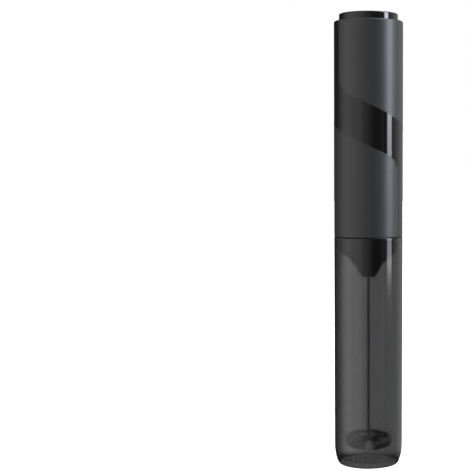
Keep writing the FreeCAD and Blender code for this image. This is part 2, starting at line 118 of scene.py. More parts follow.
HUB_EDGE_TAPER = 0.2            # cone's draw-in over its upper edge, as a share of the edge
STEM_MOUTH = 0.1 * MM           # hole's flare where the stem enters the hub
SHAFT_BORE_R = 1.0 * MM
SHAFT_BORE_LOW = 3.1 * MM       # shaft's bore above the hub's lower face
STEM_BORE_HIGH = 2.6 * MM       # stem's bore above it
STEM_TIP = 0.25 * MM
ARM_START = 0.6                 # arm's start in the stem, as a share of the stem's radius
ARM_BEND = 1.6 * MM
RING_SWEEP = 356                # degrees that the wire ring goes round
RING_STEPS = 120
RING_JOIN = 3                   # steps of the ring left out for the arm's bend
COIL_STEPS = 24                 # steps in a turn of the coil
FOOT_ROUND = ((0.5, 0.05), (0.18, 0.22))    # foot's rounding: shares of it inwards and upwards
LIP_LEAD = 4                    # straight row below the lip, in lip roundings
END_LEAD = 1.2                  # straight row beyond each rounded end of the sleeve, in roundings
MARK_SLACK = 0.05 * MM          # how far outside the bore a point still counts as in it
FLOOR_SLACK = 0.1 * MM          # how far below the inner floor
GROUND_SLACK = 0.01 * MM        # how far above the ground a point still counts as under the foot
CROWN_REACH = 1.3               # where the dome meets the cap's rounding, in roundings
DOME_REACH = 1.4                # where it meets the button's

STRAIGHT_STEPS = 24             # points along a straight stretch of the ribbon's border
BEND_STEPS = 20                 # points round a bend of it
END_STEPS = 6                   # rows round each end of the sleeve
FLARE_STEPS = 14
RIBBON_ACROSS = 36              # faces across the ribbon
WRAP_ACROSS = 150               # faces across the rest of the sleeve
SHARP = 60                      # degrees, past which an edge is broken

# What the smoked wall lets through, from face-on (0) to edge-on (1).
SMOKE_BY_ANGLE = ((0.0, 0.185), (0.24, 0.185), (0.36, 0.15), (0.59, 0.105), (0.83, 0.07), (1.0, 0.03))
UNDER_FLOOR = 0.86              # share of the tint that the foot's underside has

# What the wall mirrors, the same from either side.
MIRROR_BY_ANGLE = (
    (0.0, 0.049), (0.13, 0.051), (0.29, 0.06), (0.50, 0.10), (0.66, 0.19), (0.74, 0.27), (0.83, 0.41),
    (0.91, 0.63), (1.0, 1.0),
)


# ---------------------------------------------------------------- camera and light

CAMERA_LENS = 90.0
CAMERA_SENSOR = 36.0
CAMERA_DISTANCE = 0.6498
CAMERA_HEIGHT = 0.1696
CAMERA_PITCH = 3.722            # degrees downwards
CAMERA_SHIFT = -0.28387         # the frother is seen straight on, right of the frame's middle
CAMERA_REACH = 50.0
FLOOR_WIDTH = 8

# How bright the studio's walls are round the frother: degrees from the front towards +X, brightness.
ROOM = (
    (-180, 0.04), (-150, 0.04), (-126, 0.08), (-112, 0.30), (-100, 0.60), (-90, 0.95), (-70, 1.15),
    (-62, 1.15), (-58, 1.00), (-35, 0.92), (-24, 0.78), (-16, 0.50), (-8, 0.46), (5, 0.27), (19, 0.10),
    (42, 0.10), (46, 0.24), (49, 0.24), (53, 0.10), (66, 0.10), (92, 0.35), (100, 0.50), (120, 0.68),
    (140, 0.55), (160, 0.30), (180, 0.04),
)
ROOM_DARK_BELOW = -0.42         # sine of the angle above the horizon where the walls are darkest
ROOM_FULL_ABOVE = -0.27
ROOM_DARK = 0.05

# The tall soft box on the right: degrees from the front towards +X and how much of it shows, then its
# brightness by the height that it is seen at, as the sine of the angle above the horizon.
BOX_TURNS = ((64.5, 0.0), (67.5, 1.0), (82.0, 1.0), (85.0, 0.0))
BOX_HEIGHTS = (
    (-0.135, 0.0), (-0.118, 0.035), (-0.111, 0.07), (-0.104, 0.14), (-0.097, 0.25), (-0.09, 0.30),
    (-0.06, 0.30), (-0.04, 0.36), (0.02, 0.52), (0.11, 1.0),
)
BOX_BRIGHTNESS = 14.0
BOX_TINT = "#e6eef8"


# ---------------------------------------------------------------- sizes and colours a user may change

def length(name, description, millimetres):
    return FloatProperty(name=name, description=description, default=millimetres * MM, unit="LENGTH",
                         precision=5)


def angle(name, description, degrees):
    return FloatProperty(name=name, description=description, default=math.radians(degrees), subtype="ANGLE")


def colour(name, description, code):
    return FloatVectorProperty(name=name, description=description, default=srgb(code), subtype="COLOR",
                               min=0.0, max=1.0)


class FrotherCoverSizes(bpy.types.PropertyGroup):
    draft: length("Draft", "Radius lost between the rim and the foot curve", 0.2)
    fit: length("Fit", "Room between the cover's bore and the barrel", 0.15)
    foot_radius: length("Foot radius", "Flat face that the cover stands on", 16.6)
    foot_height: length("Foot height", "Height of the curve above the foot", 10.0)
    foot_round: length("Foot rounding", "Rounding of the foot's edge", 0.8)
    floor: length("Floor", "Thickness of the floor", 2.4)
    floor_inset: length("Floor inset", "How far the inner floor's edge is inside the foot's", 1.9)
    rim_round: length("Rim rounding", "Chamfer inside the mouth", 0.3)
    lip_round: length("Lip rounding", "Fine rounding outside the mouth", 0.15)


class FrotherGripSizes(bpy.types.PropertyGroup):
    wall: length("Wall", "Thickness of the sleeve and its ribbon", 2.75)
    end_round: length("End rounding", "Rounding of both ends", 0.8)
    ribbon_width: length("Ribbon width", "Width of the gloss ribbon", 20.4)
    ribbon_slope: angle("Ribbon slope", "Slope of the ribbon across the front", 24.3)
    ribbon_turn: angle("Ribbon turn", "From the front to each upright stretch", 88.0)
    ribbon_mid: length("Ribbon middle", "Middle of the ribbon above the sleeve's lower end", 61.3)
    inner_round: length("Inner bend", "Rounding of the ribbon's inner corners", 11.5)
    outer_round: length("Outer bend", "Rounding of the ribbon's outer corners", 22.0)
    recess: length("Recess", "How far the ribbon lies below the sleeve", 0.05)
    edge_break: length("Edge break", "Fine rounding where ribbon and sleeve meet", 0.12)


class FrotherBodySizes(bpy.types.PropertyGroup):
    barrel_wall: length("Barrel wall", "Wall of the barrel", 1.05)
    skirt: length("Skirt", "Straight part of the nose", 5.5)
    seam_chamfer: length("Seam chamfer", "Chamfers at the joint of barrel and nose", 0.2)
    flare_sag: length("Flare sag", "How far the flare is hollowed", 1.0)
    tip_radius: length("Tip radius", "Nose at its lower end", 6.7)
    tip_bore: length("Tip bore", "Hole that the hub's spigot turns in", 3.0)
    crown: length("Crown", "Rise of the domed top", 1.2)
    cap_round: length("Cap rounding", "Rounding of the cap's edge", 0.8)
    button_gap: length("Button gap", "Room round the button", 0.3)
    button_round: length("Button rounding", "Rounding of the button's edge", 0.3)
    cap_stand: length("Cap stand", "Cap's edge above the sleeve", 4.0)
    well: length("Well", "Depth of the button's well below the cap's edge", 8.0)


class FrotherWhiskSizes(bpy.types.PropertyGroup):
    cone: length("Cone", "Length of the hub's cone", 4.4)
    cone_top: length("Cone top", "Radius of the cone at its top", 6.5)
    cone_bottom: length("Cone bottom", "Radius of the cone at its bottom", 3.7)
    spigot: length("Spigot", "Radius of the spigot above the cone", 2.65)
    coil_wire: length("Coil wire", "Thickness of the coil's wire", 0.6)
    coil_across: length("Coil across", "Outer size of the wound coil", 7.3)
    turns: IntProperty(name="Turns", description="Turns that would close the ring", default=42)
    gap_turns: IntProperty(name="Gap", description="Turns left out at the frame's arm", default=3)


class FrotherColours(bpy.types.PropertyGroup):
    coating: colour("Coating", "Soft-touch coating", "#313132")
    gloss: colour("Gloss", "Polished black plastic", "#0c0c0d")


GROUPS = {
    "frother_cover": FrotherCoverSizes,
    "frother_grip": FrotherGripSizes,
    "frother_body": FrotherBodySizes,
    "frother_whisk": FrotherWhiskSizes,
    "frother_colours": FrotherColours,
}


# ---------------------------------------------------------------- modelling by hand

def fresh_start():
    """Object mode with nothing selected."""
    if bpy.context.object and bpy.context.object.mode != "OBJECT":
        bpy.ops.object.mode_set(mode="OBJECT")
    bpy.ops.object.select_all(action="DESELECT")


def select_only(piece):
    """Make one piece the selected, active one."""
    fresh_start()
    piece.select_set(True)
    bpy.context.view_layer.objects.active = piece


def take_modifier(piece, kind, **settings):
    """Add a modifier and apply it."""
    select_only(piece)
    modifier = piece.modifiers.new(kind.title(), kind)
    for name, value in settings.items():
        setattr(modifier, name, value)
    bpy.ops.object.modifier_apply(modifier=modifier.name)


def finish_mesh(piece, smooth_angle=35):
    """Close doubles, turn the faces outwards, put the place in the mesh and shade by angle."""
    select_only(piece)
    bpy.ops.object.transform_apply(location=True, rotation=True, scale=True)
    bpy.ops.object.mode_set(mode="EDIT")
    bpy.ops.mesh.select_all(action="SELECT")
    bpy.ops.mesh.remove_doubles(threshold=0.0005 * MM)
    bpy.ops.mesh.normals_make_consistent(inside=False)
    bpy.ops.object.mode_set(mode="OBJECT")
    bpy.ops.object.shade_smooth_by_angle(angle=math.radians(smooth_angle))
    return piece


def bend_stations(centre, radius, start, end, steps):
    """(radius, height) points on a round stretch, angles in degrees from outwards towards up."""
    angles = [math.radians(start + (end - start) * i / steps) for i in range(steps + 1)]
    return [(centre[0] + radius * math.cos(a), centre[1] + radius * math.sin(a)) for a in angles]


def turned_piece(name, stations, loop=False, around=AROUND):
    """Piece turned about the axis: a ring is extruded and resized from station to station.

    With loop the last station joins the first, as on a tube; without it both ends are closed flat.
    """
    fresh_start()
    radius, height = stations[0]
    bpy.ops.mesh.primitive_circle_add(vertices=around, radius=radius, location=(0, 0, height),
                                      fill_type="NOTHING" if loop else "NGON")
    piece = bpy.context.object
    piece.name = piece.data.name = name
    bpy.ops.object.transform_apply(location=True)
    bpy.ops.object.mode_set(mode="EDIT")
    bpy.ops.mesh.select_all(action="SELECT")
    run = stations + stations[:1] if loop else stations
    for (old_radius, old_height), (new_radius, new_height) in zip(run, run[1:]):
        rise = (0, 0, new_height - old_height)
        bpy.ops.mesh.extrude_region_move(TRANSFORM_OT_translate={"value": rise})
        share = new_radius / old_radius
        bpy.ops.transform.resize(value=(share, share, 1), center_override=(0, 0, new_height))
    bpy.ops.object.mode_set(mode="OBJECT")
    return finish_mesh(piece)


def settle(piece, body, slot, *nodes):
    """A finished piece rides on its body, takes its slot's finish and stands for CAD nodes."""
    piece.data.materials.clear()
    piece.data.materials.append(FINISHES[slot]())
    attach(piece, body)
    if nodes:
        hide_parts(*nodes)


# ---------------------------------------------------------------- finishes

def add_node(tree, kind, sockets=None, **settings):
    """Add one node. sockets maps its inputs to values or to the outputs that feed them."""
    node = tree.nodes.new(kind)
    for name, value in settings.items():
        setattr(node, name, value)
    for key, value in (sockets or {}).items():
        if isinstance(value, bpy.types.NodeSocket):
            tree.links.new(value, node.inputs[key])
        else:
            node.inputs[key].default_value = value
    return node


def new_finish(name):
    """Empty material: (material, its node tree, object coordinates), or (material, None, None) if made."""
    material = bpy.data.materials.get(name)
    if material:
        return material, None, None
    material = bpy.data.materials.new(name)
    material.use_nodes = True
    tree = material.node_tree
    tree.nodes.clear()
    return material, tree, add_node(tree, "ShaderNodeTexCoord").outputs["Object"]


def rgba(linear):
    return (*linear, 1.0)


def mottled(tree, place, grain, dark, light, detail=3.0):
    """Colour that wanders between two shades over patches of a real size: (colour, the pattern)."""
    noise = add_node(tree, "ShaderNodeTexNoise", {"Vector": place, "Scale": 1 / grain, "Detail": detail})
    pattern = noise.outputs["Fac"]
    mix = add_node(tree, "ShaderNodeMix", {"Factor": pattern, "A": rgba(dark), "B": rgba(light)},
                   data_type="RGBA")
    return mix.outputs["Result"], pattern


def spread(tree, pattern, low, high):
    """The pattern stretched to a range of numbers."""
    return add_node(tree, "ShaderNodeMapRange", {"Value": pattern, "To Min": low, "To Max": high}).outputs[0]


def raised(tree, pattern, depth, strength=1.0):
    """Normals of a surface raised by the pattern."""
    bump = add_node(tree, "ShaderNodeBump", {"Height": pattern, "Distance": depth, "Strength": strength})
    return bump.outputs["Normal"]


def show(tree, shader):
    """Send a shader to the surface."""
    add_node(tree, "ShaderNodeOutputMaterial", {"Surface": shader})


def graded(tree, factor, stops):
    """Number that follows a factor from 0 to 1 through (place, value) stops."""
    ramp = add_node(tree, "ShaderNodeValToRGB", {"Fac": factor})
    elements = ramp.color_ramp.elements
    while len(elements) < len(stops):
        elements.new(0.5)
    for element, (place, value) in zip(elements, stops):
        element.position = place
        element.color = (value, value, value, 1)
    return ramp.outputs["Color"]


def shaded(linear, share):
    return tuple(min(1.0, part * share) for part in linear)


def colours():
    return bpy.context.scene.frother_colours


def soft_touch_coating():
    # Polyurethane soft-touch paint over ABS: velvety, dark, with a broad satin highlight and a fine grain.
    # The real grain is about 0.1 mm; it is drawn at 0.35 mm so that it shows.
    material, tree, place = new_finish("soft_touch_coating")
    if tree:
        base = colours().coating
        tint, _ = mottled(tree, place, 9 * MM, shaded(base, 0.94), shaded(base, 1.06))
        grain = add_node(tree, "ShaderNodeTexNoise", {"Vector": place, "Scale": 1 / (0.35 * MM), "Detail": 2.0})
        shader = add_node(tree, "ShaderNodeBsdfPrincipled", {
            "Base Color": tint,
            "Roughness": spread(tree, grain.outputs["Fac"], 0.34, 0.43),
            "Normal": raised(tree, grain.outputs["Fac"], 0.012 * MM, 0.5),
            "IOR": 1.58,
            "Sheen Weight": 0.08,
            "Sheen Roughness": 0.4,
        })
        show(tree, shader.outputs[0])
    return material


def polished_abs():
    # Injection-moulded ABS from a polished mould: near black, mirror-like, with the faint waviness of
    # moulded plastic about 6 mm long.
    material, tree, place = new_finish("polished_abs")
    if tree:
        base = colours().gloss
        tint, wave = mottled(tree, place, 6 * MM, shaded(base, 0.9), shaded(base, 1.1), 1.0)
        shader = add_node(tree, "ShaderNodeBsdfPrincipled", {
            "Base Color": tint,
            "Roughness": spread(tree, wave, 0.07, 0.11),
            "Normal": raised(tree, wave, 0.03 * MM, 0.25),
            "IOR": 1.53,
        })
        show(tree, shader.outputs[0])
    return material


def smoked_styrene():
    # Smoke-tinted clear styrene, moulded and polished: dark but see-through, darker towards its edges, with
    # sharp reflections and a faint waviness of the mould about 14 mm long. Its outside carries the whole tint
    # of the wall, and the bore none.
    material, tree, place = new_finish("smoked_clear_styrene")
    if tree:
        outside = add_node(tree, "ShaderNodeAttribute", attribute_name="outside").outputs["Fac"]
        facing = add_node(tree, "ShaderNodeLayerWeight", {"Blend": 0.5}).outputs["Facing"]
        depth = graded(tree, facing, SMOKE_BY_ANGLE)
        smoke = add_node(tree, "ShaderNodeMix", {"Factor": outside, "A": rgba((1, 1, 1)), "B": depth},
                         data_type="RGBA")
        through = add_node(tree, "ShaderNodeBsdfTransparent", {"Color": smoke.outputs["Result"]})
        _, wave = mottled(tree, place, 14 * MM, (0, 0, 0), (1, 1, 1), 1.0)
        gloss = add_node(tree, "ShaderNodeBsdfGlossy", {
            "Color": rgba((1, 1, 1)),
            "Roughness": spread(tree, wave, 0.04, 0.08),
            "Normal": raised(tree, wave, 0.02 * MM, 0.2),
        })
        mirror = graded(tree, facing, MIRROR_BY_ANGLE)
        mix = add_node(tree, "ShaderNodeMixShader", {0: mirror, 1: through.outputs[0], 2: gloss.outputs[0]})
        show(tree, mix.outputs[0])
    return material


def metal(name, dark, light, roughness, grain, stretch=(1, 1, 1), depth=0.004 * MM):
    """Bare metal with a pattern of a real size, stretched along its drawing or rolling direction."""
    material, tree, place = new_finish(name)
    if tree:
        drawn = add_node(tree, "ShaderNodeMapping", {"Vector": place, "Scale": stretch}).outputs[0]
        tint, pattern = mottled(tree, drawn, grain, srgb(dark), srgb(light))
        shader = add_node(tree, "ShaderNodeBsdfPrincipled", {
            "Base Color": tint,
            "Roughness": spread(tree, pattern, roughness - 0.05, roughness + 0.05),
            "Normal": raised(tree, pattern, depth, 0.3),
            "Metallic": 1.0,
        })
        show(tree, shader.outputs[0])
    return material


def plastic(name, dark, light, roughness, grain, depth=0.01 * MM):
    """Moulded or baked matter with a mottled colour and a fine surface."""
    material, tree, place = new_finish(name)
    if tree:
        tint, pattern = mottled(tree, place, grain, srgb(dark), srgb(light))
        shader = add_node(tree, "ShaderNodeBsdfPrincipled", {
            "Base Color": tint,
            "Roughness": spread(tree, pattern, roughness - 0.06, roughness + 0.06),
            "Normal": raised(tree, pattern, depth, 0.4),
            "IOR": 1.5,
        })
        show(tree, shader.outputs[0])
    return material


def stainless_wire():
    # Drawn 304 stainless wire: bright, with fine lines along the draw.
    return metal("drawn_stainless_wire", "#a9a9a8", "#d6d6d5", 0.24, 0.5 * MM, (1, 1, 0.08))


def nickel_plate():
    # Nickel-plated spring steel: bright, slightly warm, rolled.
    return metal("nickel_plated_strip", "#a8a49a", "#cdc9bf", 0.28, 0.8 * MM, (1, 0.2, 1))


def motor_steel():
    # Zinc-plated pressed sheet: satin grey with faint spangle.
    return metal("zinc_plated_sheet", "#86888a", "#b2b4b5", 0.38, 1.6 * MM)


def copper_alloy():
    # Phosphor bronze and enamelled copper: warm, drawn.
    return metal("drawn_copper_alloy", "#a5603a", "#cf8a5c", 0.3, 0.5 * MM, (1, 1, 0.3))


def sintered_bronze():
    # Oil-filled sintered bronze: dull and open-grained.
    return metal("sintered_bronze", "#6e4f2c", "#94703f", 0.5, 0.25 * MM, depth=0.02 * MM)


def sintered_ferrite():
    # Ceramic magnet: charcoal, matt, gritty.
    return plastic("sintered_ferrite", "#232325", "#333336", 0.7, 0.3 * MM, 0.02 * MM)


def nitrile_rubber():
    # Moulded nitrile rubber: black, matt.
    return plastic("moulded_nitrile_rubber", "#141414", "#1f1f1f", 0.62, 0.4 * MM)


def white_nylon():
    # Natural nylon: milky, slightly warm.
    return plastic("moulded_natural_nylon", "#cfcabd", "#e4e0d4", 0.45, 3 * MM)


def inner_abs():
    # Unpolished black ABS of the inner mouldings: spark-eroded, matt.
    return plastic("spark_eroded_abs", "#1b1b1c", "#262627", 0.55, 0.4 * MM)


def cell_jacket():
    # Shrunk PVC film of a plain cell.
    return plastic("shrunk_film_jacket", "#2c3947", "#384859", 0.3, 5 * MM)


FINISHES = {
    "smoked_cover": smoked_styrene,
    "soft_touch": soft_touch_coating,
    "gloss_black": polished_abs,
    "seal_rubber": nitrile_rubber,
    "steel": stainless_wire,
    "motor_steel": motor_steel,
    "white_nylon": white_nylon,
    "ferrite": sintered_ferrite,
    "bronze": sintered_bronze,
    "copper": copper_alloy,
    "inner_plastic": inner_abs,
    "contact_plate": nickel_plate,
    "cell_jacket": cell_jacket,
}


# ---------------------------------------------------------------- cover

def foot_curve(foot_radius, foot_z, wall_radius, wall_z, steps=12):
    """(radius, height) points of the arc that curves an upright wall in to the foot."""
    inward = wall_radius - foot_radius
    drop = wall_z - foot_z
    radius = (inward ** 2 + drop ** 2) / (2 * inward)
    start = -math.degrees(math.asin(drop / radius))
    return bend_stations((wall_radius - radius, wall_z), radius, start, 0, steps)


def mark_outside(piece, bore, floor_z):
    """Attribute that is 1 on the outside of a cup, less under its floor, and 0 in its bore."""
    marks = piece.data.attributes.new("outside", "FLOAT", "POINT")
    for mark, vertex in zip(marks.data, piece.data.vertices):
        within = math.hypot(vertex.co.x, vertex.co.y) < bore
        if within and vertex.co.z > floor_z:
            mark.value = 0.0
        else:
            mark.value = UNDER_FLOOR if vertex.co.z < GROUND_SLACK else 1.0


class FROTHER_OT_cover(bpy.types.Operator):
    """See-through travel cover that the frother stands in"""
    bl_idname = "frother.cover"
    bl_label = "Travel cover"

    def execute(self, context):
        size = context.scene.frother_cover
        bore = BARREL_R + size.fit
        outer_foot = foot_curve(size.foot_radius, 0, OUTER_R - size.draft, size.foot_height)
        inner_foot = foot_curve(size.foot_radius - size.floor_inset, size.floor, bore - size.draft,
                                size.foot_height)
        corner = size.foot_round
        stations = [(size.foot_radius - corner, 0.0)]
        stations += [(size.foot_radius - corner * inward, corner * up) for inward, up in FOOT_ROUND]
        round_end = min(outer_foot[1][1], corner)
        stations += [point for point in outer_foot if point[1] >= round_end]
        stations.append((OUTER_R, SEAM_Z - size.lip_round * LIP_LEAD))
        stations += bend_stations((OUTER_R - size.lip_round, SEAM_Z - size.lip_round), size.lip_round, 0, 90, 3)
        stations += [(bore + size.rim_round, SEAM_Z), (bore, SEAM_Z - size.rim_round)]
        stations += inner_foot[::-1]
        cover = turned_piece("travel_cover", stations)
        mark_outside(cover, bore + MARK_SLACK, size.floor - FLOOR_SLACK)
        settle(cover, "cover", "smoked_cover", "cover_tube")
        return {"FINISHED"}


# ---------------------------------------------------------------- grip sleeve and ribbon

def unit_step(start, end):
    return (Vector(end) - Vector(start)).normalized()


def ribbon_border(size, side, first_round, second_round):
    """Flat (distance round, height) points of one border of the ribbon, as many on either border."""
    shift = side * size.ribbon_width / 2
    rise = math.tan(size.ribbon_slope)
    turn = size.ribbon_turn * OUTER_R
    middle = SEAM_Z + size.ribbon_mid + shift * math.hypot(1, rise)
    left, right = shift - turn, shift + turn
    corners = [Vector((left, SLEEVE_TOP_Z)), Vector((left, middle - rise * left)),
               Vector((right, middle - rise * right)), Vector((right, SEAM_Z))]
    points = [corners[0]]
    for index, radius in ((1, first_round), (2, second_round)):
        corner = corners[index]
        back = unit_step(corner, corners[index - 1])
        ahead = unit_step(corner, corners[index + 1])
        half = back.angle(ahead) / 2
        reach = radius / math.tan(half)
        centre = corner + (back + ahead).normalized() * radius / math.sin(half)
        leave, meet = corner + back * reach, corner + ahead * reach
        points += straight(points[-1], leave, STRAIGHT_STEPS)
        for step in range(1, BEND_STEPS):
            arm = (leave - centre).slerp(meet - centre, step / BEND_STEPS)
            points.append(centre + arm * radius)
        points.append(meet)
    points += straight(points[-1], corners[3], STRAIGHT_STEPS)
    return points


def straight(start, end, steps):
    """Points from just after start to end."""
    return [start.lerp(end, (step + 1) / steps) for step in range(steps)]


def wrapped_strip(name, left, right, across, outer, inner, end_round):
    """Strip of the sleeve between two flat borders, bent round the axis, with its wall and round ends."""
    rows = len(left)
    fresh_start()
    bpy.ops.mesh.primitive_grid_add(x_subdivisions=across, y_subdivisions=rows - 1, size=2)
    piece = bpy.context.object
    piece.name = piece.data.name = name
    for vertex in piece.data.vertices:
        share = (vertex.co.x + 1) / 2
        row = round((1 - vertex.co.y) / 2 * (rows - 1))
        flat = left[row].lerp(right[row], share)
        vertex.co = on_sleeve(flat, outer, end_round)
    bpy.ops.object.mode_set(mode="EDIT")
    bpy.ops.mesh.select_all(action="SELECT")
    bpy.ops.mesh.extrude_region()
    bpy.ops.object.mode_set(mode="OBJECT")
    for vertex in piece.data.vertices:
        if vertex.select:
            share = inner / math.hypot(vertex.co.x, vertex.co.y)
            vertex.co = (vertex.co.x * share, vertex.co.y * share, vertex.co.z)
    return piece


def on_sleeve(flat, outer, end_round):
    """Point of the sleeve's outside for a flat (distance round, height) one, front at -Y."""
    turn = flat.x / OUTER_R
    depth = end_round - min(flat.y - SEAM_Z, SLEEVE_TOP_Z - flat.y, end_round)
    radius = outer - end_round + math.sqrt(max(end_round ** 2 - depth ** 2, 0.0))
    return Vector((radius * math.sin(turn), -radius * math.cos(turn), flat.y))


def with_end_rows(points, end_round):
    """Border with closely spaced points added where both ends are rounded."""
    top, bottom = points[0], points[-1]
    steps = [end_round * (1 - math.cos(math.pi / 2 * i / END_STEPS)) for i in range(END_STEPS + 1)]
    steps.append(end_round * END_LEAD)
    head = [Vector((top.x, top.y - step)) for step in steps]
    tail = [Vector((bottom.x, bottom.y + step)) for step in reversed(steps)]
    return head + points[1:-1] + tail


class FROTHER_OT_grip(bpy.types.Operator):
    """Soft-touch sleeve and the gloss ribbon inlaid in it"""
    bl_idname = "frother.grip"
    bl_label = "Grip sleeve and ribbon"

    def execute(self, context):
        size = context.scene.frother_grip
        left = with_end_rows(ribbon_border(size, -1, size.outer_round, size.inner_round), size.end_round)
        right = with_end_rows(ribbon_border(size, 1, size.inner_round, size.outer_round), size.end_round)
        girth = Vector((2 * math.pi * OUTER_R, 0))
        far_left = [point + girth for point in left]
        inner = OUTER_R - size.wall
        ribbon = wrapped_strip("gloss_ribbon", left, right, RIBBON_ACROSS, OUTER_R - size.recess, inner,
                               size.end_round)
        wrap = wrapped_strip("grip_wrap", right, far_left, WRAP_ACROSS, OUTER_R, inner, size.end_round)
        for piece in (ribbon, wrap):
            finish_mesh(piece)
            take_modifier(piece, "BEVEL", width=size.edge_break, segments=3, limit_method="ANGLE",
                          angle_limit=math.radians(SHARP))
            finish_mesh(piece)
        settle(ribbon, "handle", "gloss_black", "gloss_band")
        settle(wrap, "handle", "soft_touch", "grip_sleeve")
        return {"FINISHED"}


# ---------------------------------------------------------------- barrel and nose

class FROTHER_OT_body(bpy.types.Operator):
    """Gloss barrel that shows below the sleeve, and the flared nose"""
    bl_idname = "frother.body"
    bl_label = "Barrel and nose"

    def execute(self, context):
        size = context.scene.frother_body
        chamfer = size.seam_chamfer
        bore = BARREL_R - size.barrel_wall
        barrel = turned_piece("barrel_tube", [
            (BARREL_R - chamfer, BARREL_BOTTOM_Z),
            (BARREL_R, BARREL_BOTTOM_Z + chamfer),
            (BARREL_R, BARREL_TOP_Z - chamfer),
            (BARREL_R - chamfer, BARREL_TOP_Z),
            (bore, BARREL_TOP_Z),
            (bore, BARREL_BOTTOM_Z),
        ], loop=True)
        settle(barrel, "handle", "gloss_black", "barrel")

        skirt_z = BARREL_BOTTOM_Z - size.skirt
        flare = flare_curve((BARREL_R, skirt_z), (size.tip_radius, NOSE_TIP_Z), size.flare_sag, FLARE_STEPS)
        spigot = bore - PRESS_GAP
        floor_z = SEAM_Z - MOTOR_DEPTH
        nose = turned_piece("flared_nose", [
            (BARREL_R - chamfer, BARREL_BOTTOM_Z),
            (BARREL_R, BARREL_BOTTOM_Z - chamfer),
            *flare,
            (size.tip_bore, NOSE_TIP_Z),
            (size.tip_bore, floor_z),
            (MOTOR_POCKET_R, floor_z),
            (MOTOR_POCKET_R, NOSE_TOP_Z),
            (spigot, NOSE_TOP_Z),
            (spigot, BARREL_BOTTOM_Z),
        ], loop=True)
        settle(nose, "handle", "gloss_black", "nose_cone")
        return {"FINISHED"}


def flare_curve(start, end, sag, steps):
    """Hollow arc between two (radius, height) points."""
    start, end = Vector(start), Vector(end)
    chord = end - start
    radius = (chord.length ** 2 / 4 + sag ** 2) / (2 * sag)
    inward = Vector((chord.y, -chord.x)).normalized()
    centre = (start + end) / 2 - inward * (radius - sag)
    points = []
    for step in range(steps + 1):
        arm = (start - centre).slerp(end - centre, step / steps)
        points.append(tuple(centre + arm * radius))
    return points


# ---------------------------------------------------------------- cap and button

def crown_height(radius, size):
    """Height of the domed top at a radius."""
    ball = (BARREL_R ** 2 + size.crown ** 2) / (2 * size.crown)
    return CROWN_Z - ball + math.sqrt(ball ** 2 - radius ** 2)


def crown_stations(size, start, end, steps):
    """Points of the domed top between two radii."""
    radii = [start + (end - start) * i / steps for i in range(steps + 1)]
    return [(radius, crown_height(radius, size)) for radius in radii]


class FROTHER_OT_cap(bpy.types.Operator):
    """Cap at the top of the handle and the domed button in it"""
    bl_idname = "frother.cap"
    bl_label = "Cap and button"

    def execute(self, context):
        size = context.scene.frother_body
        skirt = BARREL_R - size.barrel_wall - CAP_FIT
        skirt_bore = skirt - CAP_SKIRT_WALL
        well = BUTTON_R + size.button_gap
        edge_z = SLEEVE_TOP_Z + size.cap_stand
        web_top = edge_z - size.well
        web_low = web_top - CAP_WEB
        groove = skirt - SEAL_GROOVE_DEPTH
        groove_z = (web_top + web_low) / 2
        corner = size.cap_round
        corner_z = crown_height(BARREL_R - corner, size) - corner
        lip = size.button_round
        ring = turned_piece("cap_ring", [
            (skirt, CAP_SKIRT_Z),
            (skirt, groove_z - SEAL_GROOVE_HALF),
            (groove, groove_z - SEAL_GROOVE_HALF),
            (groove, groove_z + SEAL_GROOVE_HALF),
            (skirt, groove_z + SEAL_GROOVE_HALF),
            (skirt, BARREL_TOP_Z),
            (BARREL_R, BARREL_TOP_Z),
            *bend_stations((BARREL_R - corner, corner_z), corner, 0, 84, 8),
            *crown_stations(size, BARREL_R - corner * CROWN_REACH, well + lip, 6),
            *bend_stations((well + lip, crown_height(well + lip, size) - lip), lip, 100, 180, 4),
            (well, web_top),
            (GUIDE_R, web_top),
            (GUIDE_R, web_low),
            (skirt_bore, web_low),
            (skirt_bore, CAP_SKIRT_Z),
        ], loop=True)
        settle(ring, "cap", "gloss_black", "battery_cap")

        stem = BUTTON_STEM_R
        stop = stem + BUTTON_STOP_WIDTH
        stop_z = web_low - BUTTON_STOP_ROOM
        stop_low_z = stop_z - BUTTON_STOP_HEIGHT
        ceiling = edge_z - BUTTON_CEILING
        under_z = web_top + BUTTON_RISE
        wall = BUTTON_R - BUTTON_WALL
        rim_z = crown_height(BUTTON_R - lip, size) - lip
        button = turned_piece("push_button", [
            (stem - BUTTON_STEM_CHAMFER, STEM_LOW_Z),
            (stem, STEM_LOW_Z + BUTTON_STEM_CHAMFER),
            (stem, stop_low_z),
            (stop, stop_low_z),
            (stop, stop_z),
            (stem, stop_z),
            (stem, ceiling),
            (wall, ceiling),
            (wall, under_z),
            (BUTTON_R, under_z),
            *bend_stations((BUTTON_R - lip, rim_z), lip, 0, 84, 5),
            *crown_stations(size, BUTTON_R - lip * DOME_REACH, BUTTON_CENTRE_R, 18),
        ])
        settle(button, "button", "gloss_black", "button")
        return {"FINISHED"}


# ---------------------------------------------------------------- hub and whisk

def wire_along(name, points, thickness):
    """Round wire along a list of points, made a mesh."""
    fresh_start()
    line = bpy.data.curves.new(name, "CURVE")
    line.dimensions = "3D"
    line.bevel_depth = thickness / 2
    line.bevel_resolution = 3
    line.use_fill_caps = True
    spline = line.splines.new("POLY")
    spline.points.add(len(points) - 1)
    for place, point in zip(spline.points, points):
        place.co = (*point, 1)
    piece = bpy.data.objects.new(name, line)
    bpy.context.scene.collection.objects.link(piece)
    select_only(piece)
    bpy.ops.object.convert(target="MESH")
    return finish_mesh(bpy.context.object, SHARP)


